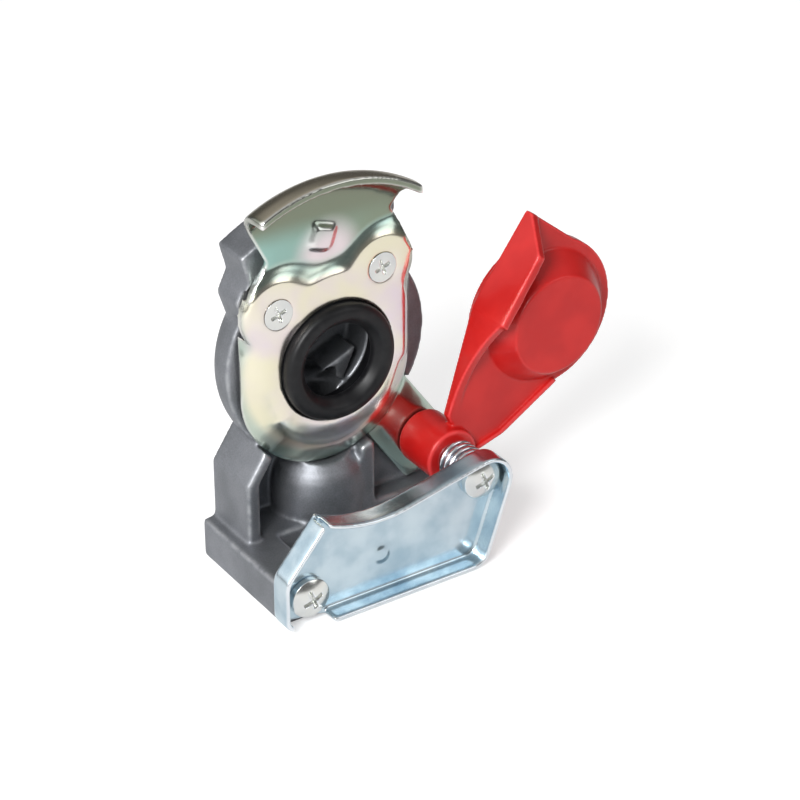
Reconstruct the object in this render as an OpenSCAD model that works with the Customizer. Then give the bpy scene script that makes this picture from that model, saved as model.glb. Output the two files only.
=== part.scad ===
// Palm type air brake coupling head with a swinging dust lid.
// The origin is the port mouth on the base. +Z runs up the neck, -Y is the way the coupling face looks.
// The face modules work in x (right), z (up) and d (forward), counted from the seal's front centre.

/* [Seal] */
// Height of the seal axis above the base
seal_h = 66; // [66:0.5:68]
// Distance from the seal front back to the port axis
port_back = 15.5; // [15:0.5:16]
// Outer radius of the seal ring
seal_r = 18.3; // [17.8:0.1:18.6]
// Radius of the air hole in the seal ring
seal_hole_r = 11.5; // [10.5:0.5:12]
// Height of the seal ring above the face plate
seal_stand = 3; // [2.6:0.1:3.2]

/* [Face plate] */
// Thickness of the pressed face plate
plate_t = 2.5; // [2:0.1:2.6]
// Radius of the round lower end of the plate
plate_r = 28.3; // [27.5:0.1:28.5]
// Radius of the lobe around each plate screw
lobe_r = 11.5; // [11:0.1:12]
// Depth of the turned-back rim
rim_drop = 5; // [4:0.5:5.5]
// Width of the turned-back rim at the sides
rim_run = 4.2; // [3.5:0.1:4.5]
// Width of the turned-back rim at the round lower end
low_rim_run = 8; // [7:0.5:9]
// Height of the raised tip above the flat of the plate
tip_raise = 3.3; // [2.8:0.1:3.4]
// Height of the bead between the flat and the raised tip
bead_h = 4.6; // [4:0.1:4.6]
// Outer radius of the claw at the top of the plate
claw_r = 50.3; // [49:0.1:51]
// Inner bend radius of the claw
claw_bend_r = 10; // [9:0.5:10.5]
// Straight length of the claw past its bend
claw_lip = 3; // [1:0.5:4]

/* [Casting] */
// Radius of the round chamber
chamber_r = 33.5; // [33:0.1:34]
// Depth of the chamber behind the seal front
chamber_depth = 26; // [25:0.5:28]
// Radius of the neck that holds the port
neck_r = 10.5; // [10:0.1:11]
// Thickness of the base slab
base_h = 13; // [12:0.5:13.5]
// Half width of the base slab to the left
base_left = 34; // [34:0.5:36]

/* [Guide bracket] */
// Thickness of the bracket sheet
bracket_t = 1.6; // [1.4:0.1:1.8]
// Distance of the bracket's back in front of the seal
bracket_d = 19.4; // [19:0.1:20]
// Radius of the bracket's concave guide edge
guide_r = 42; // [41:0.5:43]
// Depth of the bracket's edge, turned forward all round
edge_depth = 7.6; // [6.5:0.1:8]

/* [Lid] */
// Distance from the pivot to the seal axis
pivot_reach = 49.8; // [49.8:0.1:50.4]
// Direction of the pivot below the right-hand side of the seal, in degrees
pivot_angle = 49.2; // [49:0.1:50]
// Direction of the open lid, in degrees above the right-hand side
open_angle = 47; // [44:1:50]
// Thickness of the lid
lid_t = 3; // [2.6:0.1:3.2]
// Radius of the round end of the lid
lid_r = 24.3; // [23.5:0.1:24.4]
// Height of the round boss on the lid
boss_h = 8; // [6:0.5:9]
// Radius of the lid's hub
hub_r = 8.6; // [8:0.1:8.8]
// Height of the grip above the back of the lid
grip_h = 15.5; // [12:0.5:17]

/* [Fasteners] */
// Thread radius of the plate screws
plate_screw_r = 2.5; // [2:0.1:2.6]
// Thread radius of the bracket and pivot screws
bracket_screw_r = 3; // [2.5:0.1:3]
// Head radius of the bracket and pivot screws
pan_r = 6.2; // [5.8:0.1:6.4]
// Core radius of the port thread
port_r = 7.2; // [7:0.1:7.4]
// Depth of the port thread
port_len = 20; // [16:1:22]
// Wire radius of the lid spring
wire_r = 0.75; // [0.6:0.05:0.8]

/* [Hidden] */
$fn = 96;
// Cutters reach this far past the face that they open
over = 1;
// Clearance of a screw in its hole and of parts laid side by side
fit = 0.05;
// Clearance of the lid's hub on its sleeve
turning_fit = 0.06;
// Clearance of moving faces from their neighbours
air = 0.4;

// Seal seat
seal_flange = 2;
seal_flange_r = seal_r + seal_flange;
seal_depth = 12;
seal_round = 2;
seal_bevel = 2.4;
cavity_r = 15.5;
lip_back = 4.6;
lip_flare = 2;
web_top = -7.5;
web_sides = [[-3.1, -9.2], [7.5, -12.8], [12.4, -2.7]];

// Face plate: its flat front lies seal_stand behind the seal front
plate_d = -seal_stand;
plate_back = plate_d - plate_t;
plate_center = [-0.8, -6.5];
screw_spots = [[-19.3, 20.3], [15.3, 25.4]];
side_top = 19;
lobe_drop = 1.5;
seal_land_r = 22.5;
ear_drop = 5.5;
ear_r = 10.2;
ear_root = [16, -18];
step_r = 10.2;
step_seal_r = 28;
step_run = 3.8;
bead_crest = 0.8;
bead_fall = 4.5;
tip_d = plate_d + tip_raise;
tip_sides = [[-24, 17], [-28.8, 26], [-27.6, 31], [-24.5, 39], [-33.8, 57.5], [-30, 66],
             [17, 66], [18.4, 56], [16.4, 45], [22, 36.5], [26, 28], [22, 17]];
claw_center = [-9.5, 14.5];
claw_from = 44;
claw_to = 132;
claw_outer_bend = claw_bend_r + plate_t;
claw_flat_r = claw_r - claw_outer_bend;
mark_spot = [-7.2, 42.6];
mark_w = 9;
mark_h = 1.8;
mark_turn = -18;
sink_r = 4.7;
plate_recess = 1.6;
plate_screw_len = 12;
recess_turn = 20;
pan_head = 3.8;
pan_dome_r = 12;
pan_recess_r = 3.2;
pan_recess = 2.4;
bracket_screw_len = 24;
lug_screw_len = 10;
// Each blind screw hole is deeper than its screw by this much
hole_spare = 0.5;

// Pivot of the lid, seen from the front
pivot = pivot_reach * [cos(pivot_angle), -sin(pivot_angle)];
// The ear of the plate runs on behind the pivot
ear_end = pivot + [4, -8.9];
hub_back = plate_d - ear_drop + air;
hub_front = 8;
sleeve_r = 4.4;
spring_r = 6;
lug_r = 8;

// Casting
cast_front = plate_back;
pad_inset = 1.2;
rim_back = plate_d - rim_drop - plate_t;
ear_back = plate_d - ear_drop - lobe_drop - plate_t;
lug_d = ear_back - air;
chamber_front = rim_back - air;
chamber_center = [1.3, -1];
chamber_round = 11;
wall_x = 30;
wall_w = 4.5;
wall_front = -5;
base_front = -5;
base_right = 36;
base_back = -25.5;
lug_back = -19;
lug_sides = [[-24.8, 14], [-27.7, 27.3], [-24, 33.4], [-25.4, 41.8], [-16.5, 45.6]];
lug_tilt = 5.5;
slab_step = 3;
wall_bend = -34;
lean_x = 22;
lean_top = -22;
back_right = [30, -42];
back_wall_t = 5;
rib_x = 9;
rib_w = 5;
chamber_wall = 4;
air_way_step = 1.4;
arm_in = -20;

// Bracket, seen from the front: a concave guide edge, an eye around the pivot, a round foot and a shoulder
bracket_spot = [-26.6, -57];
guide_center = [-4, 6.2];
guide_from = -117.4;
eye_r = pan_r + 2 * air + bracket_t;
bracket_low = -65.5;
foot_r = 6.5;
foot_spot = [27.5, bracket_low + foot_r];
shoulder_r = 7;
shoulder_spot = [-30, -50];
lip_left = -21;
curl_r = 4;
curl_spot = [shoulder_spot[0] - shoulder_r + curl_r, -60];
arc_steps = 16;
curl_turn = 60;
slit_w = 1.2;
slit_len = 3;
dimple_spot = [-1.5, -52];
dimple_r = 3.4;
dimple_h = 0.9;
// Directions in which its straight edges face, each tangent to its two neighbours
to_eye = pivot - guide_center;
guide_to = atan2(to_eye[1], to_eye[0]) - acos((guide_r + eye_r) / norm(to_eye));
to_foot = foot_spot - pivot;
right_face = atan2(to_foot[1], to_foot[0]) + acos((eye_r - foot_r) / norm(to_foot));
guide_corner = guide_center + guide_r * along(guide_from);
to_corner = guide_corner - shoulder_spot;
left_face = atan2(to_corner[1], to_corner[0]) + acos(shoulder_r / norm(to_corner));

// Lid, along u (from the pivot to its round end) and v (to the left of that line)
lid_back = air;
grip_back = 2.2;
lid_front = grip_back + lid_t;
grip_tip = [71.6, 27.6];
grip_bend = [39.7, 23.6];
grip_end = [9, 8.2];
grip_w = 3;
grip_shoulder = [9.5, grip_h - 1];
arm_side = [[3, -7.4], [14, -13.5], [36, -19.6]];
top_corner = [pivot_reach + lid_r - 2 * air, 4];
grip_curve_r = 55;
boss_r = 21.2;
boss_top_r = 15.5;
dish_r = 19.9;
spring_turns = 4.5;

// Places the face drawing, with x to the right, z up and d forward
module face_frame() {
    translate([0, -port_back, seal_h])
        rotate([90, 0, 0])
            children();
}

// A round pad with its edge turned back by drop, d = 0 on the flat
module rim_pad(spot, r, deep, drop, run) {
    translate([spot[0], spot[1], -drop])
        cylinder(h = drop, r1 = r, r2 = r - run);
    translate([spot[0], spot[1], -deep])
        cylinder(h = deep - drop, r = r);
}

// A straight band between two spots with the same turned-back edge
module rim_bar(a, b, half, deep, drop) {
    run = b - a;
    section = [[-half, -deep], [-half, -drop], [rim_run - half, 0],
               [half - rim_run, 0], [half, -drop], [half, -deep]];
    translate([a[0], a[1], 0])
        rotate([0, 0, atan2(run[1], run[0]) - 90])
            rotate([90, 0, 0])
                translate([0, 0, -norm(run)])
                    linear_extrude(norm(run))
                        polygon(section);
}

// Space behind the low part of the plate
module low_volume(deep) {
    mid_top = [plate_center[0], side_top];
    rim_pad(plate_center, plate_r, deep, rim_drop, low_rim_run);
    rim_pad([0, 0], seal_land_r + rim_run, deep, rim_drop, rim_run);
    rim_bar(plate_center, mid_top, plate_r, deep, rim_drop);
    for (spot = screw_spots)
        rim_pad(spot, lobe_r, deep, lobe_drop, rim_run);
    // ear behind the lid's hub, set back from the flat
    translate([0, 0, -ear_drop])
        rim_bar(ear_root, ear_end, ear_r, deep - ear_drop, lobe_drop);
}

// Space behind the raised tip, cut back around the seal and the screws
module tip_volume(deep) {
    difference() {
        union() {
            translate([0, 0, -deep])
                linear_extrude(deep + tip_raise)
                    intersection() {
                        polygon(tip_sides);
                        translate(claw_center)
                            circle(claw_flat_r + fit);
                    }
            translate([mark_spot[0], mark_spot[1], tip_raise])
                rotate([0, 0, mark_turn])
                    square_mark();
            intersection() {
                union() {
                    bead(step_seal_r);
                    for (spot = screw_spots)
                        translate([spot[0], spot[1], 0])
                            bead(step_r);
                }
                linear_extrude(bead_h + over)
                    polygon(tip_sides);
            }
        }
        step_cone(step_seal_r);
        for (spot = screw_spots)
            translate([spot[0], spot[1], 0])
                step_cone(step_r);
    }
}

// The slope from the flat up to the raised tip, around a flat of radius r
module step_cone(r) {
    cylinder(h = bead_h + over, r1 = r, r2 = r + step_run * (1 + over / bead_h));
}

// The bead along the top of that slope, falling gently to the tip
module bead(r) {
    crest = r + step_run + bead_crest;
    rotate_extrude()
        polygon([[r, 0], [r, bead_h], [crest, bead_h], [crest + bead_fall, tip_raise],
                 [crest + bead_fall, 0]]);
}

// A low square emboss with sloping sides
module square_mark() {
    slope = [[-mark_w / 2, -over], [-mark_w / 2, 0], [mark_h - mark_w / 2, mark_h],
             [mark_w / 2 - mark_h, mark_h], [mark_w / 2, 0], [mark_w / 2, -over]];
    intersection_for (turn = [0, 90])
        rotate([0, 0, turn])
            translate([0, mark_w / 2, 0])
                rotate([90, 0, 0])
                    linear_extrude(mark_w)
                        polygon(slope);
}

// The claw: the tip of the sheet bent forward along an arc
module claw() {
    translate([claw_center[0], claw_center[1], tip_d + claw_bend_r])
        rotate([0, 0, claw_from])
            rotate_extrude(angle = claw_to - claw_from) {
                intersection() {
                    translate([claw_flat_r, 0])
                        difference() {
                            circle(claw_outer_bend);
                            circle(claw_bend_r);
                        }
                    translate([claw_flat_r - fit, -claw_outer_bend - over])
                        square([claw_outer_bend + over, claw_outer_bend + over]);
                }
                translate([claw_flat_r + claw_bend_r, -fit])
                    square([plate_t, claw_lip + fit]);
            }
}

// The sheet is the space behind the front face without the same space moved back by its thickness
module plate_sheet() {
    deep = ear_drop + lobe_drop + plate_t + over;
    difference() {
        union() {
            low_volume(deep);
            tip_volume(deep);
        }
        translate([0, 0, -plate_t]) {
            low_volume(deep);
            tip_volume(deep);
        }
    }
}

module face_plate() {
    color("lightgoldenrodyellow")
        face_frame()
            difference() {
                union() {
                    translate([0, 0, plate_d])
                        plate_sheet();
                    intersection() {
                        claw();
                        translate([0, 0, plate_back])
                            linear_extrude(claw_r)
                                polygon(tip_sides);
                    }
                }
                translate([0, 0, plate_back - over])
                    cylinder(h = plate_t + 2 * over, r = seal_r + fit * 3);
                translate([pivot[0], pivot[1], ear_back - over])
                    cylinder(h = plate_d - ear_back + 2 * over, r = sleeve_r + 2 * fit);
                for (spot = screw_spots)
                    translate([spot[0], spot[1], plate_back])
                        sunk_hole();
            }
}

// A hole for a sunk screw head
module sunk_hole() {
    translate([0, 0, -over])
        cylinder(h = plate_t + 2 * over, r = plate_screw_r + fit);
    translate([0, 0, plate_t - (sink_r - plate_screw_r)])
        cylinder(h = sink_r - plate_screw_r + fit, r1 = plate_screw_r + fit, r2 = sink_r + 2 * fit);
}

module seal_ring() {
    color("#1d1d1f")
        face_frame()
            rotate_extrude()
                difference() {
                    union() {
                        translate([seal_hole_r, -seal_depth])
                            square([seal_r - seal_hole_r, seal_depth - seal_round]);
                        translate([seal_hole_r, -seal_depth])
                            square([seal_flange_r - seal_hole_r, seal_depth + plate_back - fit]);
                        translate([seal_hole_r, -seal_round - fit])
                            square([seal_r - seal_round - seal_hole_r, seal_round + fit]);
                        translate([seal_r - seal_round, -seal_round])
                            circle(seal_round);
                    }
                    polygon([[seal_hole_r - over, over], [seal_hole_r - over, -seal_bevel - over],
                             [seal_hole_r + seal_bevel + over, over]]);
                    // wider inside behind the lip
                    polygon([[seal_hole_r - over, -lip_back], [seal_hole_r, -lip_back],
                             [cavity_r, -lip_back - lip_flare], [cavity_r, -seal_depth - over],
                             [seal_hole_r - over, -seal_depth - over]]);
                }
}

// Cross recess for a screw head, opened from its top
module cross_recess(reach, deep) {
    for (turn = [0, 90])
        rotate([0, 0, turn + recess_turn])
            translate([-reach, -reach / 5, -deep])
                cube([2 * reach, reach / 2.5, deep + over]);
}

module plate_screws() {
    head = sink_r - plate_screw_r;
    color("lightgoldenrodyellow")
        face_frame()
            for (spot = screw_spots)
                translate([spot[0], spot[1], plate_d])
                    difference() {
                        union() {
                            translate([0, 0, -head])
                                cylinder(h = head, r1 = plate_screw_r, r2 = sink_r);
                            translate([0, 0, -plate_screw_len])
                                cylinder(h = plate_screw_len - head + fit, r = plate_screw_r);
                        }
                        cross_recess(plate_screw_r, plate_recess);
                    }
}

// A domed pan head screw, d = 0 under its head
module pan_screw(length) {
    difference() {
        union() {
            intersection() {
                cylinder(h = pan_head, r = pan_r);
                translate([0, 0, pan_head - pan_dome_r])
                    sphere(pan_dome_r);
            }
            translate([0, 0, -length])
                cylinder(h = length + fit, r = bracket_screw_r);
        }
        translate([0, 0, pan_head])
            cross_recess(pan_recess_r, pan_recess);
    }
}

module bracket_screw() {
    color("lightgray")
        face_frame()
            translate([bracket_spot[0], bracket_spot[1], bracket_d + bracket_t])
                pan_screw(bracket_screw_len);
}

module pivot_screw() {
    length = bracket_d + bracket_t - lug_d + lug_screw_len;
    color("lightgray")
        face_frame()
            translate([pivot[0], pivot[1], bracket_d + bracket_t])
                pan_screw(length);
}

module pivot_sleeve() {
    length = bracket_d - lug_d;
    color("silver")
        face_frame()
            translate([pivot[0], pivot[1], lug_d])
                difference() {
                    cylinder(h = length, r = sleeve_r);
                    translate([0, 0, -over])
                        cylinder(h = length + 2 * over, r = bracket_screw_r + fit);
                }
}

// Ring of points around the spring wire at one place of the coil
function wire_ring(p, turn) = [for (k = [0:7])
    p + wire_r * (cos(k * 45) * [cos(turn), sin(turn), 0] + sin(k * 45) * [0, 0, 1])];

// Triangles that join a row of wire rings into one closed tube
function tube_faces(rings) = concat(
    [[for (k = [7:-1:0]) k]],
    [for (i = [0:rings - 2], k = [0:7])
        [i * 8 + k, i * 8 + (k + 1) % 8, (i + 1) * 8 + (k + 1) % 8, (i + 1) * 8 + k]],
    [[for (k = [0:7]) (rings - 1) * 8 + k]]);

module lid_spring() {
    from = hub_front + wire_r + air;
    to = bracket_d - wire_r - fit;
    steps = 108;
    leg = 6;
    leg_turn = -60;
    coil = [for (i = [0:steps])
        let (turn = leg_turn + 360 * spring_turns * i / steps)
            wire_ring([spring_r * cos(turn), spring_r * sin(turn), from + (to - from) * i / steps], turn)];
    leg_end = spring_r * [cos(leg_turn), sin(leg_turn)] + leg * [sin(leg_turn), -cos(leg_turn)];
    first = wire_ring([leg_end[0], leg_end[1], from], leg_turn);
    rings = concat([first], coil);
    color("gainsboro")
        face_frame()
            translate([pivot[0], pivot[1], 0])
                polyhedron([for (ring = rings, p = ring) p], tube_faces(len(rings)));
}

// Unit step in the direction of an angle
function along(angle) = [cos(angle), sin(angle)];

// Points along an arc
function arc(center, r, from, to) = [for (i = [0:arc_steps])
    center + r * along(from + (to - from) * i / arc_steps)];

// Direction from the guide's centre to the upper left corner of the outline, moved in by inset
function corner_way(inset) =
    left_face + acos((guide_r * cos(guide_from - left_face) - inset) / (guide_r + inset)) - 360;

// Outline of the bracket, moved in by inset: guide edge, shoulder, curl, low_edge, foot and eye
function bracket_points(inset, low_edge) = concat(
    arc(guide_center, guide_r + inset, guide_to, corner_way(inset)),
    arc(shoulder_spot, shoulder_r - inset, left_face, 180),
    arc(curl_spot, curl_r - inset, 180, 180 + curl_turn),
    low_edge,
    arc(foot_spot, foot_r - inset, -90, right_face),
    arc(pivot, eye_r - inset, right_face, guide_to + 180));

// A tray: the sheet's edge is turned forward all round except between the curl and the lip at the bottom
module guide_bracket() {
    slit_way = (left_face + guide_from + 180) / 2;
    curl_end = curl_spot + (curl_r - bracket_t) * along(180 + curl_turn);
    open_edge = [[curl_end[0], bracket_low - over], [lip_left, bracket_low - over],
                 [lip_left, bracket_low + bracket_t]];
    color("#cfd6dc")
        face_frame()
            translate([0, 0, bracket_d])
                difference() {
                    union() {
                        difference() {
                            linear_extrude(edge_depth)
                                polygon(bracket_points(0, [[lip_left, bracket_low]]));
                            translate([0, 0, bracket_t])
                                linear_extrude(edge_depth)
                                    polygon(bracket_points(bracket_t, open_edge));
                        }
                        // round dimple
                        translate([dimple_spot[0], dimple_spot[1], bracket_t - fit])
                            cylinder(h = dimple_h, r1 = dimple_r, r2 = dimple_r / 2);
                    }
                    for (spot = [bracket_spot, pivot])
                        translate([spot[0], spot[1], -over])
                            cylinder(h = bracket_t + 2 * over, r = bracket_screw_r + fit);
                    // slit between the guide edge and the left edge
                    translate([guide_corner[0], guide_corner[1], bracket_t])
                        rotate([0, 0, slit_way])
                            translate([-slit_len, -slit_w / 2, 0])
                                cube([slit_len + over, slit_w, edge_depth]);
                }
}

// Sideways outline of the upper lug with its two teeth, symmetric about the plate's axis
module lug_outline() {
    mirrored = [for (i = [len(lug_sides) - 1:-1:0]) [-lug_sides[i][0], lug_sides[i][1]]];
    rotate([0, 0, lug_tilt])
        polygon(concat(lug_sides, mirrored));
}

// Seats that carry the flat of the face plate
module plate_pads() {
    inset = low_rim_run + pad_inset;
    side_inset = rim_run + pad_inset;
    depth = cast_front - chamber_front + over;
    translate([0, 0, cast_front - depth])
        linear_extrude(depth) {
            translate(plate_center)
                circle(plate_r - inset);
            circle(seal_land_r - pad_inset);
            translate([plate_center[0] - plate_r + side_inset, plate_center[1]])
                square([2 * (plate_r - side_inset), side_top - plate_center[1]]);
            for (spot = screw_spots)
                translate(spot)
                    circle(lobe_r - side_inset);
        }
}

module chamber_shell() {
    back = -chamber_depth;
    translate([chamber_center[0], chamber_center[1], 0])
        rotate_extrude() {
            translate([0, back + chamber_round])
                square([chamber_r, chamber_front - back - chamber_round]);
            translate([0, back])
                square([chamber_r - chamber_round, chamber_round + over]);
            intersection() {
                translate([chamber_r - chamber_round, back + chamber_round])
                    circle(chamber_round);
                translate([0, back])
                    square([chamber_r, chamber_round]);
            }
        }
}

// Foot of the casting: slab, left wall, back wall, left arm, rib and pivot lug
module casting_foot() {
    low = -seal_h;
    top = low + base_h;
    wall_in = wall_w - wall_x;
    // slab, narrowing at its upper left edge
    translate([0, 0, base_back])
        linear_extrude(base_front - base_back)
            polygon([[-base_left, low], [-base_left, top - slab_step], [-wall_x, top], [base_right, top],
                     [base_right, low]]);
    // left wall, leaning in to the chamber at its top
    translate([0, 0, base_back])
        linear_extrude(wall_front - base_back)
            polygon([[-wall_x, low], [-wall_x, wall_bend], [-lean_x, lean_top], [wall_w - lean_x, lean_top],
                     [wall_in, wall_bend], [wall_in, low]]);
    // back wall
    translate([0, 0, base_back])
        linear_extrude(back_wall_t)
            polygon([[-wall_x, low], [-wall_x, wall_bend], [-lean_x, lean_top], [lean_x, lean_top],
                     back_right, [base_right, top], [base_right, low]]);
    // arm that carries the left end of the bracket
    translate([-base_left, low, base_back])
        cube([base_left + arm_in, base_h, bracket_d - base_back]);
    // rib beside the neck, and the pivot lug on its web
    translate([rib_x, low, base_back])
        cube([rib_w, -low + lean_top, wall_front - base_back]);
    translate([pivot[0], pivot[1], base_back])
        cylinder(h = lug_d - base_back, r = lug_r);
    translate([rib_x, low, base_back])
        cube([pivot[0] + lug_r - rib_x, pivot[1] - low, lug_d - base_back]);
}

// Room kept free in the casting for the turned-back rim, the lobes and the ear of the plate
module plate_room() {
    reach = seal_h;
    ear_run = ear_end - ear_root;
    translate([plate_center[0], plate_center[1], chamber_front]) {
        cylinder(h = reach, r = plate_r + air);
        translate([-plate_r - air, 0, 0])
            cube([2 * plate_r + 2 * air, side_top - plate_center[1] + air, reach]);
    }
    for (spot = screw_spots)
        translate([spot[0], spot[1], plate_back - lobe_drop - air])
            cylinder(h = reach, r = lobe_r + air);
    translate([0, 0, ear_back - air])
        linear_extrude(reach)
            translate(ear_root)
                rotate(atan2(ear_run[1], ear_run[0]))
                    translate([0, -ear_r - air])
                        square([norm(ear_run) + air, 2 * ear_r + 2 * air]);
}

module body_casting() {
    deep = seal_h;
    color("#8d9092")
        difference() {
            union() {
                difference() {
                    union() {
                        face_frame() {
                            chamber_shell();
                            casting_foot();
                            translate([0, 0, lug_back])
                                linear_extrude(cast_front - lug_back)
                                    lug_outline();
                        }
                        cylinder(h = seal_h - cavity_r, r = neck_r);
                    }
                    face_frame()
                        plate_room();
                }
                face_frame()
                    plate_pads();
            }
            // seal seat and air chamber, with a web left standing in it
            face_frame() {
                translate([0, 0, -seal_depth])
                    cylinder(h = deep, r = seal_flange_r + fit * 2);
                difference() {
                    translate([0, 0, chamber_wall - chamber_depth])
                        cylinder(h = deep, r = cavity_r);
                    translate([0, 0, -chamber_depth])
                        linear_extrude(chamber_depth + web_top)
                            polygon(web_sides);
                }
                // screw holes
                for (spot = screw_spots)
                    translate([spot[0], spot[1], plate_d - plate_screw_len - hole_spare])
                        cylinder(h = deep, r = plate_screw_r + fit);
                translate(concat(bracket_spot, bracket_d + bracket_t - bracket_screw_len - hole_spare))
                    cylinder(h = deep, r = bracket_screw_r + fit);
                translate([pivot[0], pivot[1], lug_d - lug_screw_len - hole_spare])
                    cylinder(h = deep, r = bracket_screw_r + fit);
            }
            // port and the air way up to the chamber
            translate([0, 0, -over])
                cylinder(h = port_len + over, r = port_r);
            cylinder(h = seal_h - cavity_r / 2, r = port_r - air_way_step);
        }
}

// Turns the lid drawing, with u along the arm, to its open place
module lid_frame() {
    face_frame()
        translate([pivot[0], pivot[1], 0])
            rotate([0, 0, open_angle])
                children();
}

// One straight stretch of the grip, standing on the line from a to b
module grip_wall(a, b) {
    run = b - a;
    translate([a[0], a[1], grip_back])
        rotate([0, 0, atan2(run[1], run[0])])
            translate([0, grip_w, 0])
                rotate([90, 0, 0])
                    linear_extrude(grip_w)
                        children();
}

module lid_outline() {
    translate([pivot_reach, 0])
        circle(lid_r);
    polygon(concat([grip_end], arm_side, [[pivot_reach, 0], top_corner, grip_tip, grip_bend]));
}

module lid() {
    upper = norm(grip_bend - grip_tip);
    lower = norm(grip_end - grip_bend);
    color("#c8202a")
        lid_frame()
            difference() {
                union() {
                    translate([0, 0, grip_back])
                        linear_extrude(lid_t)
                            lid_outline();
                    translate([pivot_reach, 0, lid_back])
                        cylinder(h = lid_front - lid_back, r = lid_r);
                    translate([pivot_reach, 0, lid_front - fit])
                        cylinder(h = boss_h, r1 = boss_r, r2 = boss_top_r);
                    translate([0, 0, hub_back])
                        cylinder(h = hub_front - hub_back, r = hub_r);
                    // grip: full height from its shoulder to the bend, then a concave run down to the hub
                    grip_wall(grip_tip, grip_bend)
                        polygon([[0, 0], [0, lid_t], grip_shoulder, [upper, grip_h], [upper, 0]]);
                    grip_wall(grip_bend, grip_end)
                        difference() {
                            square([lower, grip_h]);
                            translate([lower, lid_t + grip_curve_r])
                                circle(grip_curve_r);
                        }
                    translate([grip_bend[0], grip_bend[1], grip_back])
                        rotate([0, 0, 180])
                            translate([-fit, 0, 0])
                                cube([2 * fit, grip_w, grip_h]);
                }
                translate([pivot_reach, 0, lid_back - over])
                    cylinder(h = lid_front - lid_back + over, r = dish_r);
                translate([pivot_reach, 0, lid_front - fit])
                    cylinder(h = boss_h - lid_t + fit, r1 = boss_r - lid_t, r2 = boss_top_r - lid_t);
                translate([0, 0, hub_back - over])
                    cylinder(h = hub_front - hub_back + 2 * over, r = sleeve_r + turning_fit);
            }
}

body_casting();
seal_ring();
face_plate();
plate_screws();
guide_bracket();
bracket_screw();
pivot_screw();
pivot_sleeve();
lid_spring();
lid();
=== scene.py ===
import math

import bmesh
import bpy
import numpy as np
from mathutils import Matrix, Vector
from mathutils.bvhtree import BVHTree


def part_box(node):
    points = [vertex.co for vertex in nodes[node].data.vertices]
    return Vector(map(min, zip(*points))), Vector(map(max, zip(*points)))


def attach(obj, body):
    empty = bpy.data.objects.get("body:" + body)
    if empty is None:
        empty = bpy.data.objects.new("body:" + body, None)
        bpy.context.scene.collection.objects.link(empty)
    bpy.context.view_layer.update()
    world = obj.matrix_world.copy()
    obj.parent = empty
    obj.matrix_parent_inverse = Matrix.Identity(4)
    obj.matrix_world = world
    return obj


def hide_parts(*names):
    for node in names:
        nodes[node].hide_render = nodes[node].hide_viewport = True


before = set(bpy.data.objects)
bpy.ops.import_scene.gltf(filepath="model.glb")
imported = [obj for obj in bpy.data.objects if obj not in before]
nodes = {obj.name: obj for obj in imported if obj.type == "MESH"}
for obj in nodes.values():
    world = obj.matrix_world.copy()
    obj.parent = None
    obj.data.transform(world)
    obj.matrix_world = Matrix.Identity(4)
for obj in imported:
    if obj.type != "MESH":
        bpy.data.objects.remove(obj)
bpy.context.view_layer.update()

# Lengths are in metres, apart from those that are said to be in millimetres
MM = 0.001

CAD_MERGE = 0.5e-6                  # points of a CAD mesh that are closer than this are one point
LATHE_MERGE = 1e-6                  # the same for a turned shape
LATHE_STEPS = 96
EDGE_GAIN = 9.0                     # how soon a bend counts as a full edge

# The face plate
TIP_RISE = 3.3 * MM                 # how far the CAD tip stands in front of the flat
SLOPE_RUN = 9 * MM                  # the step up to the tip is eased over this run
SLOPE_REACH = 11 * MM               # points further out from the flats stay where they are
SLOPE_LEAST = 0.05 * MM             # what rises less than this is flat
FLAT_SPOT = 22.5 * MM               # a place on the flat, to the right of the seal's middle
ROLL_DEPTH = 8.0 * MM               # the fall of the roll, as bump
ROLL_HEIGHTS = 70 * MM, 82 * MM     # the roll's bump goes from none to full between these heights
TIP_HEIGHTS = 92 * MM, 98 * MM      # the tip's tint does
CLAW_HEIGHTS = 108 * MM, 117 * MM   # the claw's darker tint does


# Shader values

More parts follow.
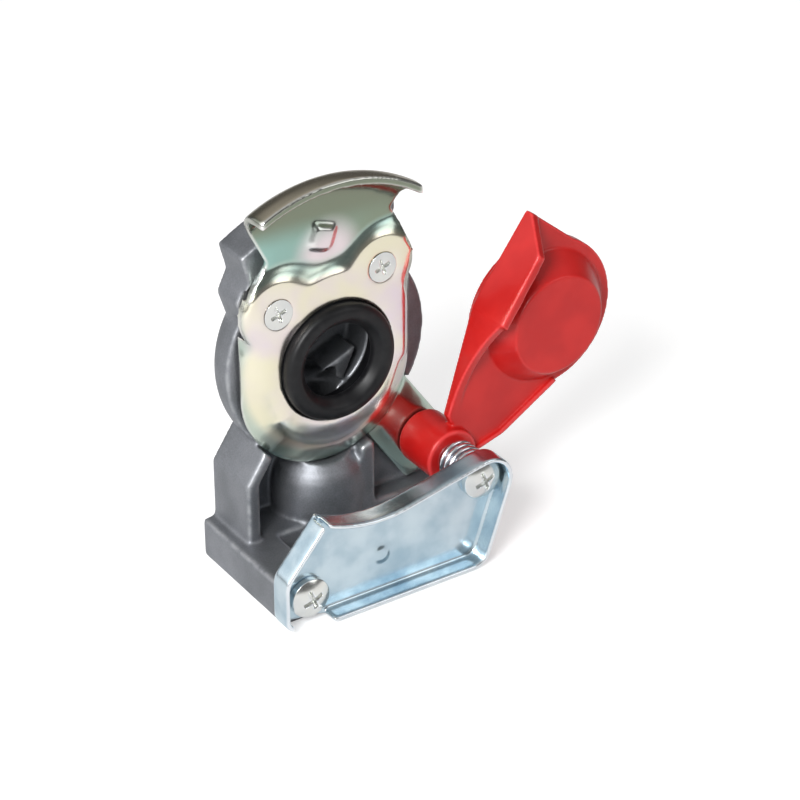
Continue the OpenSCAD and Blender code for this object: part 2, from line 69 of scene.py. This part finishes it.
class Value:
    """One shader value. Arithmetic on it adds the node that works it out."""

    def __init__(self, tree, socket):
        self.tree = tree
        self.socket = socket

    def node(self, kind, settings=None, inputs=None, output=0):
        made = self.tree.nodes.new(kind)
        for name, setting in (settings or {}).items():
            setattr(made, name, setting)
        for slot, value in (inputs or {}).items():
            if isinstance(value, Value):
                self.tree.links.new(value.socket, made.inputs[slot])
            else:
                made.inputs[slot].default_value = value
        return Value(self.tree, made.outputs[output])

    def math(self, operation, first, second):
        return self.node("ShaderNodeMath", {"operation": operation}, {0: first, 1: second})

    def __add__(self, other):
        return self.math("ADD", self, other)

    def __radd__(self, other):
        return self.math("ADD", other, self)

    def __sub__(self, other):
        return self.math("SUBTRACT", self, other)

    def __rsub__(self, other):
        return self.math("SUBTRACT", other, self)

    def __mul__(self, other):
        return self.math("MULTIPLY", self, other)

    def __rmul__(self, other):
        return self.math("MULTIPLY", other, self)

    def __pow__(self, other):
        return self.math("POWER", self, other)

    def smooth_min(self, other, blend):
        """The lesser of two values, with a soft change from one to the other."""
        return self.node("ShaderNodeMath", {"operation": "SMOOTH_MIN"}, {0: self, 1: other, 2: blend})

    def between(self, low, high):
        """0 at low, 1 at high, with a soft run between them. Low may be the greater of the two."""
        return self.node("ShaderNodeMapRange", {"interpolation_type": "SMOOTHSTEP"},
                         {"Value": self, "From Min": low, "From Max": high})

    def part(self, axis):
        return self.node("ShaderNodeSeparateXYZ", None, {0: self}, axis)

    def noise(self, size, detail=2.0, roughness=0.5):
        """Cloudy noise from 0 to 1 whose blotches are about size across."""
        return self.node("ShaderNodeTexNoise", None,
                         {"Vector": self, "Scale": 1.0 / size, "Detail": detail, "Roughness": roughness})

    def toward(self, first, second):
        """The first colour where this value is 0 and the second where it is 1."""
        colours = {}
        for slot, colour in ((6, first), (7, second)):
            colours[slot] = colour if isinstance(colour, Value) else (*colour, 1.0)
        return self.node("ShaderNodeMix", {"data_type": "RGBA", "clamp_factor": True}, {0: self, **colours}, 2)


class Finish:
    """A new material with its shader, and the values that its own start from: the place and the edges of the piece."""

    def __init__(self, name, **constants):
        self.material = bpy.data.materials.new(name)
        self.material.use_nodes = True
        self.tree = self.material.node_tree
        self.shader = self.tree.nodes["Principled BSDF"]
        for slot, value in constants.items():
            self.shader.inputs[slot.replace("_", " ")].default_value = value
        start = Value(self.tree, None)
        self.place = start.node("ShaderNodeTexCoord", output=3)
        self.edge = start.node("ShaderNodeAttribute", {"attribute_name": "edge"}, output=2)

    def feed(self, slot, value):
        self.tree.links.new(value.socket, self.shader.inputs[slot])

    def bump(self, height, depth, strength=1.0):
        made = height.node("ShaderNodeBump", None, {"Height": height, "Distance": depth, "Strength": strength})
        self.feed("Normal", made)


# Finishes

def cast_metal():
    """Matte die-cast aluminium, with a fine sandy grain and edges a little brighter, partly as rubbed wear and partly
    as a painted highlight.
    """
    dark, light, rubbed_and_highlit = (0.18, 0.19, 0.205), (0.29, 0.30, 0.325), (0.50, 0.51, 0.53)
    finish = Finish("cast_metal", Metallic=0.85)
    grain = finish.place.noise(0.5 * MM, 3.0, 0.6)
    cloud = finish.place.noise(14 * MM, 3.0)
    skin = (cloud * 0.6 + grain * 0.4).between(0.3, 0.72).toward(dark, light)
    # Edges that bend outward turn lighter: partly rubbed wear, partly a painted highlight.
    rub_and_highlight = finish.edge.between(0.3, 1.0) * finish.place.noise(3 * MM).between(0.2, 0.75)
    finish.feed("Base Color", rub_and_highlight.toward(skin, rubbed_and_highlit))
    finish.feed("Roughness", 0.46 - rub_and_highlight * 0.12 + grain * 0.1)
    finish.bump(grain * 0.7 + finish.place.noise(1.6 * MM) * 0.5, 0.12 * MM, 0.5)
    return finish.material


def yellow_zinc(flats):
    """Passivated zinc plate: cream and pink on the flats. Teal on the roll around them and teal to olive on the tip
    are painted reflection, darker toward the claw is painted shade, brown where it faces up is painted reflection and
    lighter edges are a painted highlight. Bump bends the light on the roll as if it fell away from the flats, which
    are given as (x, z, radius)."""
    cream, pink, straw = (0.90, 0.83, 0.76), (0.84, 0.73, 0.80), (0.90, 0.85, 0.64)
    # The roll and tip colours stand for painted reflection, the claw colour for painted shade, the edge colour for a
    # painted highlight.
    roll_reflection_teal, roll_reflection_straw = (0.42, 0.60, 0.56), (0.60, 0.66, 0.56)
    tip_reflection_teal, tip_reflection_olive, claw_shade_olive = (0.34, 0.56, 0.51), (0.28, 0.33, 0.24), (0.24, 0.27, 0.20)
    tip_reflection_pink, upward_reflection_brown, edge_highlight = (0.86, 0.76, 0.78), (0.58, 0.52, 0.40), (0.92, 0.91, 0.88)
    finish = Finish("yellow_zinc", Metallic=1.0)
    x, z = finish.place.part(0), finish.place.part(2)
    upward = finish.place.node("ShaderNodeTexCoord", output=1).part(2)
    cloud = finish.place.noise(17 * MM)
    drift = finish.place.noise(9 * MM, 3.0)
    fine = finish.place.noise(0.8 * MM, 3.0)
    ripple = finish.place.noise(8 * MM, 1.0) * (0.16 * MM)

    def away(spot_x, spot_z):
        return ((x - spot_x) * (x - spot_x) + (z - spot_z) * (z - spot_z)) ** 0.5

    gaps = [away(flat_x, flat_z) - radius for flat_x, flat_z, radius in flats]
    out = gaps[0]
    for gap in gaps[1:]:
        out = out.smooth_min(gap, 6 * MM)
    on_roll = out.between(-0.5 * MM, 2.5 * MM)
    on_tip = out.between(5 * MM, 9 * MM) * z.between(*TIP_HEIGHTS)
    fall = out.between(-1 * MM, 8 * MM) * z.between(*ROLL_HEIGHTS) * ROLL_DEPTH
    # A pink spot low in the middle of the tip: a painted reflection.
    pink_reflection_spot = away(-5 * MM, flats[0][1] + 37 * MM).between(13 * MM, 4 * MM)

    flat = drift.between(0.3, 0.7).toward(cream, pink)
    flat = cloud.between(0.35, 0.75).toward(flat, straw)
    # The roll's teal is a painted reflection of the dim room.
    painted_roll_reflection = cloud.between(0.3, 0.7).toward(roll_reflection_teal, roll_reflection_straw)
    # The tip's teal to olive across it is painted reflection; the darker olive toward the claw is painted shade.
    painted_tip_reflection = (x.between(-26 * MM, 14 * MM) * 0.8 + drift * 0.25).toward(tip_reflection_teal, tip_reflection_olive)
    painted_tip_reflection = z.between(*CLAW_HEIGHTS).toward(painted_tip_reflection, claw_shade_olive)
    painted_tip_reflection = pink_reflection_spot.toward(painted_tip_reflection, tip_reflection_pink)
    tint = on_tip.toward(on_roll.toward(flat, painted_roll_reflection), painted_tip_reflection)
    # Where the surface faces up it turns brown: a painted reflection of the dim ceiling.
    tint = upward.between(0.6, 0.95).toward(tint, upward_reflection_brown)
    # Edges and crests that bend outward turn lighter: a painted highlight.
    finish.feed("Base Color", finish.edge.between(0.25, 0.9).toward(tint, edge_highlight))
    finish.feed("Roughness", 0.15 + fine * 0.06 + drift * 0.06)
    finish.bump(ripple - fall, 1.0)
    return finish.material


def bright_zinc(name="bright_zinc", light=(0.64, 0.75, 0.81), dark=(0.40, 0.53, 0.62)):
    """Bright zinc plate with a faint drift of colour, bluish unless other tints are given, and lighter edges as a
    painted highlight.
    """
    edge_highlight = (0.92, 0.94, 0.97)
    finish = Finish(name, Metallic=1.0)
    drift = finish.place.noise(10 * MM, 3.0)
    fine = finish.place.noise(0.6 * MM)
    tint = drift.between(0.3, 0.75).toward(light, dark)
    # Edges that bend outward turn lighter: a painted highlight.
    finish.feed("Base Color", finish.edge.between(0.3, 0.9).toward(tint, edge_highlight))
    finish.feed("Roughness", 0.15 + fine * 0.08 + drift * 0.05)
    finish.bump(finish.place.noise(7 * MM), 0.16 * MM, 0.45)
    return finish.material


def lid_red():
    """Glossy moulded red with a faint ripple, and lighter edges as a painted highlight."""
    deep, bright, edge_highlight_red = (0.46, 0.007, 0.006), (0.54, 0.012, 0.010), (0.66, 0.04, 0.04)
    finish = Finish("lid_red", Coat_Weight=0.15, Coat_Roughness=0.08, IOR=1.42)
    cloud = finish.place.noise(12 * MM)
    fine = finish.place.noise(0.7 * MM)
    tint = cloud.between(0.3, 0.7).toward(deep, bright)
    # Edges that bend outward turn a lighter red: a painted highlight.
    finish.feed("Base Color", finish.edge.between(0.3, 0.9).toward(tint, edge_highlight_red))
    finish.feed("Roughness", 0.3 + fine * 0.1)
    finish.bump(finish.place.noise(4 * MM) + fine * 0.12, 0.08 * MM, 0.4)
    return finish.material


def seal_black():
    """Black rubber with a slight bloom and moulding grain."""
    black, bloomed = (0.005, 0.005, 0.006), (0.012, 0.012, 0.013)
    finish = Finish("seal_black", IOR=1.36)
    bloom = finish.place.noise(5 * MM, 3.0)
    fine = finish.place.noise(0.35 * MM)
    finish.feed("Base Color", bloom.between(0.35, 0.8).toward(black, bloomed))
    finish.feed("Roughness", 0.3 + bloom * 0.12 + fine * 0.08)
    finish.bump(fine, 0.04 * MM, 0.35)
    return finish.material


# Shaping

class Skin:
    """The points of a mesh with their neighbours, for smoothing a shape and finding its edges."""

    def __init__(self, mesh):
        self.mesh = mesh
        self.count = len(mesh.vertices)
        self.points = np.empty(self.count * 3)
        mesh.vertices.foreach_get("co", self.points)
        self.points = self.points.reshape(self.count, 3)
        pairs = np.empty(len(mesh.edges) * 2, dtype=np.int64)
        mesh.edges.foreach_get("vertices", pairs)
        self.first, self.second = pairs[0::2], pairs[1::2]
        self.near = np.maximum(np.bincount(pairs, minlength=self.count), 1)[:, None]

    def normals(self):
        found = np.empty(self.count * 3)
        self.mesh.vertex_normals.foreach_get("vector", found)
        return found.reshape(self.count, 3)

    def spread(self, values):
        """The mean of the neighbours at each point."""
        total = np.empty_like(values)
        for axis in range(values.shape[1]):
            column = values[:, axis]
            total[:, axis] = (np.bincount(self.first, column[self.second], self.count)
                              + np.bincount(self.second, column[self.first], self.count))
        return total / self.near

    def distance(self, x, z):
        """How far each point is from a line that runs from front to back."""
        return np.hypot(self.points[:, 0] - x, self.points[:, 2] - z)

    def relax(self, steps, weight=1.0):
        """Moves each point half way to the mean of its neighbours in each step, or less where its weight is less."""
        for _ in range(steps):
            self.points += 0.5 * weight * (self.spread(self.points) - self.points)
        self.mesh.vertices.foreach_set("co", self.points.ravel())
        self.mesh.update()

    def sheet_sides(self, crisp):
        """Weights of 1 on the front and back of a sheet, 0 at its cut edges and inside the crisp rounds,
        which are given as (x, z, radius)."""
        cut_facing, facing_run, crisp_run = 0.35, 0.25, 3 * MM
        side = np.clip((np.abs(self.normals()[:, 1]) - cut_facing) / facing_run, 0.0, 1.0)
        for x, z, radius in crisp:
            side = np.minimum(side, np.clip((self.distance(x, z) - radius) / crisp_run, 0.0, 1.0))
        for _ in range(3):
            least = side.copy()
            np.minimum.at(least, self.first, side[self.second])
            np.minimum.at(least, self.second, side[self.first])
            side = least
        weight = side[:, None]
        for _ in range(4):
            weight = self.spread(weight)
        return weight

    def inside(self, spot):
        """Weights of 1 inside a round spot (x, z, radius), falling to 0 over half its radius more."""
        x, z, radius = spot
        return np.clip(3.0 - 2.0 * self.distance(x, z) / radius, 0.0, 1.0)[:, None]

    def ease_step(self, flats, faces):
        """Spreads the step around the flats (x, z, radius) of a sheet over a gentle slope of the same rise. The faces
        are the tree of the sheet's own faces."""
        def front_at(x, z):
            """The front of the sheet, met from well ahead of it, or None past its cut edge."""
            return faces.ray_cast(Vector((x, -1.0, z)), Vector((0, 1, 0)))[0]

        out = np.min([self.distance(x, z) - radius for x, z, radius in flats], axis=0)
        level = front_at(flats[0][0] + FLAT_SPOT, flats[0][1]).y
        shift = np.zeros(self.count)
        missed = np.zeros(self.count, dtype=bool)
        for point in np.flatnonzero((out > 0) & (out < SLOPE_REACH)):
            hit = front_at(self.points[point, 0], self.points[point, 2])
            missed[point] = hit is None
            raised = level - hit.y if hit else 0.0
            if raised > SLOPE_LEAST:
                run = min(out[point] / SLOPE_RUN, 1.0)
                shift[point] = raised - TIP_RISE * run * run * (3 - 2 * run)
        # points just past the cut edge go with their neighbours
        for _ in range(5):
            most = shift.copy()
            np.maximum.at(most, self.first, shift[self.second])
            np.maximum.at(most, self.second, shift[self.first])
            shift[missed] = most[missed]
        shift = shift[:, None]
        for _ in range(6):
            shift = self.spread(shift)
        self.points[:, 1] += shift[:, 0]

    def mark_edges(self):
        """Writes the bend as the point attribute "edge": 0 on flats, toward 1 on edges and toward -1 in coves."""
        reach = np.linalg.norm(self.points[self.first] - self.points[self.second], axis=1).mean()
        out = self.points - self.spread(self.points)
        bend = (out * self.normals()).sum(axis=1, keepdims=True) / reach
        bend = self.spread(self.spread(bend))
        edge = self.mesh.attributes.new("edge", "FLOAT", "POINT")
        edge.data.foreach_set("value", np.clip(bend[:, 0] * EDGE_GAIN, -1.0, 1.0))


def add_object(name, data):
    made = bpy.data.objects.new(name, data)
    bpy.context.scene.collection.objects.link(made)
    return made


def mesh_from(shape, name):
    """The shape as a mesh. The shape is used up."""
    mesh = bpy.data.meshes.new(name)
    shape.to_mesh(mesh)
    shape.free()
    return mesh


def add_piece(name, mesh, material, body, replaced):
    """Adds a smooth piece in one finish, which rides on the body and stands for the CAD node that it replaces."""
    mesh.polygons.foreach_set("use_smooth", [True] * len(mesh.polygons))
    mesh.materials.clear()
    mesh.materials.append(material)
    piece = add_object(name, mesh)
    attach(piece, body)
    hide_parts(replaced)
    return piece


def subdivide(piece):
    rounder = piece.modifiers.new("round", "SUBSURF")
    rounder.levels = 1
    rounder.render_levels = 1


def spin(shape, section, axis):
    """Turns a closed section, given in millimetres, about an axis through the origin."""
    ring = [shape.verts.new(Vector(point) * MM) for point in section]
    loop = [shape.edges.new((ring[i - 1], ring[i])) for i in range(len(ring))]
    bmesh.ops.spin(shape, geom=ring + loop, cent=(0, 0, 0), axis=axis, angle=2 * math.pi, steps=LATHE_STEPS,
                   use_merge=True, use_duplicate=False)


# Pieces

def rounded_copy(node, body, material, voxel, soften, flow=(), crisp=(), flats=(), grow=None):
    """A piece shaped as the CAD node, with every hard edge rounded off as the real casting or pressing has it: it is
    rebuilt on a grid of voxel size, and relaxed in soften steps. On a sheet, the step around its flats is eased, and
    its sides flow further than its cut edges and crisp rounds, in passes of (steps, spot). Forms that grow adds to
    the shape become one with it."""
    source = nodes[node].data.copy()
    shape = bmesh.new()
    shape.from_mesh(source)
    if grow:
        grow(shape)
    bmesh.ops.remove_doubles(shape, verts=shape.verts, dist=CAD_MERGE)
    bmesh.ops.recalc_face_normals(shape, faces=shape.faces)
    faces = BVHTree.FromBMesh(shape) if flats else None
    shape.to_mesh(source)
    shape.free()
    source.materials.clear()
    raw = add_object(node + "_raw", source)
    grid = raw.modifiers.new("grid", "REMESH")
    grid.mode = "VOXEL"
    grid.voxel_size = voxel
    graph = bpy.context.evaluated_depsgraph_get()
    mesh = bpy.data.meshes.new_from_object(raw.evaluated_get(graph))
    bpy.data.objects.remove(raw)
    skin = Skin(mesh)
    if flats:
        skin.ease_step(flats, faces)
    skin.relax(soften)
    for steps, spot in flow:
        skin.relax(steps, skin.sheet_sides(crisp) * skin.inside(spot))
    skin.mark_edges()
    add_piece(node + "_form", mesh, material, body, node)


def neck_bulge(shape):
    """The swell of the neck below the rim of the face plate, ending in the back wall."""
    # radius and height, in millimetres
    section = [(9, 12), (13.8, 12), (14.1, 16), (14.1, 21.5), (13.5, 25.5), (12.3, 28.2), (10.8, 29.8), (9, 30.2)]
    back_wall = 8.5 * MM
    before = len(shape.verts)
    spin(shape, [(radius, 0, height) for radius, height in section], (0, 0, 1))
    shape.verts.ensure_lookup_table()
    for point in shape.verts[before:]:
        point.co.y = min(point.co.y, back_wall)


def arm_rim(shape):
    """The low rim along the right side of the lid's arm, in the open place of the lid."""
    # in millimetres: the pivot and the rim's path from it, along and across the arm
    pivot_x, pivot_y, pivot_z = 32.54, -15.5, 28.3
    path = [(5, -7.9), (14, -13.1), (36, -19.2)]
    rim_width, rim_foot, rim_top = 1.7, 4.4, 6.9
    turn = math.radians(47)

    def place(along, across, front):
        return Vector((pivot_x + along * math.cos(turn) - across * math.sin(turn), pivot_y - front,
                       pivot_z + along * math.sin(turn) + across * math.cos(turn))) * MM

    for ends in zip(path, path[1:]):
        corners = [shape.verts.new(place(along, across + width, front)) for along, across in ends
                   for width in (0, rim_width) for front in (rim_foot, rim_top)]
        bmesh.ops.convex_hull(shape, input=corners)


def seal_middle():
    """The middle of the seal's front, as x, y and z."""
    low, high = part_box("seal_ring")
    return (low[0] + high[0]) / 2, low[1], (low[2] + high[2]) / 2


def seal_lathe(material):
    """The seal ring turned from its section, with a crowned front and a rolled lip."""
    # radius and depth behind the front, in millimetres
    section = [(18.3, 5.4), (18.3, 2.4), (18.05, 1.2), (17.3, 0.35), (16.2, 0.03), (15.2, 0.0), (14.3, 0.1),
               (13.6, 0.5), (12.6, 1.5), (11.8, 2.4), (11.5, 3.1), (11.55, 4.1), (11.9, 4.8), (13.6, 6.0),
               (15.2, 6.6), (15.5, 7.6), (15.5, 11.7), (15.8, 12.0), (20.0, 12.0), (20.3, 11.7), (20.3, 5.8),
               (20.1, 5.55), (18.7, 5.55)]
    shape = bmesh.new()
    spin(shape, [(radius, depth, 0) for radius, depth in section], (0, 1, 0))
    bmesh.ops.remove_doubles(shape, verts=shape.verts, dist=LATHE_MERGE)
    bmesh.ops.recalc_face_normals(shape, faces=shape.faces)
    bmesh.ops.translate(shape, verts=shape.verts, vec=Vector(seal_middle()))
    subdivide(add_piece("seal_form", mesh_from(shape, "seal_form"), material, "head", "seal_ring"))


def smooth_spring(material):
    """The lid spring with its wire rounded."""
    shape = bmesh.new()
    shape.from_mesh(nodes["lid_spring"].data)
    bmesh.ops.remove_doubles(shape, verts=shape.verts, dist=CAD_MERGE)
    bmesh.ops.join_triangles(shape, faces=shape.faces, angle_face_threshold=0.8, angle_shape_threshold=1.2)
    bmesh.ops.recalc_face_normals(shape, faces=shape.faces)
    subdivide(add_piece("spring_form", mesh_from(shape, "spring_form"), material, "head",
                        "lid_spring"))


# The coupling head

seal_x, _, seal_z = seal_middle()


def on_plate(x, z, radius):
    """A round on the face plate, given in millimetres from the middle of the seal."""
    return seal_x + x * MM, seal_z + z * MM, radius * MM


screw_zinc = bright_zinc("screw_zinc", (0.84, 0.84, 0.80), (0.70, 0.72, 0.72))
bracket_zinc = bright_zinc()
spring_steel = bright_zinc("spring_steel", (0.80, 0.82, 0.86), (0.66, 0.69, 0.75))

left_screw, right_screw, emboss = (-19.3, 20.3), (15.3, 25.4), (-7.2, 42.6)
plate_flats = [on_plate(0, 0, 28), on_plate(*left_screw, 10.2), on_plate(*right_screw, 10.2)]
plate_crisp = [on_plate(*left_screw, 5), on_plate(*right_screw, 5), on_plate(*emboss, 4)]
plate_flow = [(40, on_plate(0, 0, 100)), (400, on_plate(-27, 4, 13))]

rounded_copy("body_casting", "head", cast_metal(), voxel=0.62 * MM, soften=8, grow=neck_bulge)
rounded_copy("face_plate", "head", yellow_zinc(plate_flats), voxel=0.45 * MM, soften=12,
             flow=plate_flow, crisp=plate_crisp, flats=plate_flats)
rounded_copy("guide_bracket", "head", bracket_zinc, voxel=0.38 * MM, soften=14)
rounded_copy("lid", "lid", lid_red(), voxel=0.42 * MM, soften=5, grow=arm_rim)
rounded_copy("plate_screws", "head", screw_zinc, voxel=0.16 * MM, soften=3)
rounded_copy("bracket_screw", "head", screw_zinc, voxel=0.19 * MM, soften=3)
rounded_copy("pivot_screw", "head", screw_zinc, voxel=0.19 * MM, soften=3)
seal_lathe(seal_black())
smooth_spring(spring_steel)
nodes["pivot_sleeve"].data.materials.clear()
nodes["pivot_sleeve"].data.materials.append(spring_steel)


# Floor, light and camera

def white_floor():
    """A pale floor that keeps the shadow. To the camera it glows a little, which lifts it to white."""
    glow = (0.38, 0.38, 0.38)
    shape = bmesh.new()
    bmesh.ops.create_grid(shape, x_segments=1, y_segments=1, size=3.0)
    mesh = mesh_from(shape, "floor")
    finish = Finish("floor_white", Base_Color=(0.8, 0.8, 0.8, 1.0), Roughness=0.9, Specular_IOR_Level=0.1,
                    Emission_Strength=1.0)
    seen = finish.place.node("ShaderNodeLightPath", output=0)
    finish.feed("Emission Color", seen.toward((0.0, 0.0, 0.0), glow))
    mesh.materials.append(finish.material)
    add_object("floor", mesh)


def soft_light(name, place, target, size, power):
    lamp = bpy.data.lights.new(name, "AREA")
    lamp.shape = "DISK"
    lamp.size = size
    lamp.energy = power
    stand = add_object(name, lamp)
    stand.location = place
    stand.rotation_euler = (Vector(target) - Vector(place)).to_track_quat("-Z", "Y").to_euler()


def studio_world():
    """White to the camera, and to everything else a dim room with a lighter ceiling and a bright wall on the left."""
    room_light, ceiling_light, wall_light = 0.12, 0.36, 1.3
    world = bpy.data.worlds.new("studio")
    bpy.context.scene.world = world
    world.use_nodes = True
    tree = world.node_tree
    background = tree.nodes["Background"]
    start = Value(tree, None)
    way = start.node("ShaderNodeTexCoord", output=0)
    up = way.part(2)
    left = 0.0 - way.part(0)
    ceiling = up.between(0.35, 0.8)
    wall = left.between(0.3, 0.75) * up.between(-0.05, 0.25)
    room = room_light + ceiling * ceiling_light + wall * wall_light
    grey = start.node("ShaderNodeCombineColor", None, {0: room, 1: room, 2: room})
    seen = start.node("ShaderNodeLightPath", output=0)
    tree.links.new(seen.toward(grey, (1.0, 1.0, 1.0)).socket, background.inputs["Color"])
    background.inputs["Strength"].default_value = 1.0


def photo_camera():
    """The camera of the photograph, as it was fitted to the seal, the lid and the base."""
    place = (-0.34659, -0.56381, 0.42882)
    azimuth, elevation = math.radians(-33.7), math.radians(30.0)
    right = Vector((math.cos(azimuth), math.sin(azimuth), 0.0))
    back = Vector((math.sin(azimuth) * math.cos(elevation), -math.cos(azimuth) * math.cos(elevation),
                   math.sin(elevation)))
    up = back.cross(right)
    eye = bpy.data.cameras.new("photo_camera")
    eye.sensor_width = 36.0
    eye.lens = 117.7
    eye.clip_start = 0.01
    stand = add_object("photo_camera", eye)
    stand.matrix_world = Matrix.Translation(place) @ Matrix((right, up, back)).transposed().to_4x4()
    bpy.context.scene.camera = stand


white_floor()
studio_world()
soft_light("key", place=(-0.62, -0.50, 0.62), target=(0.0, -0.02, 0.05), size=0.35, power=8.0)
soft_light("fill", place=(0.5, -0.7, 0.45), target=(0.02, -0.02, 0.05), size=0.5, power=1.0)
photo_camera()
bpy.context.scene.view_settings.view_transform = "Standard"
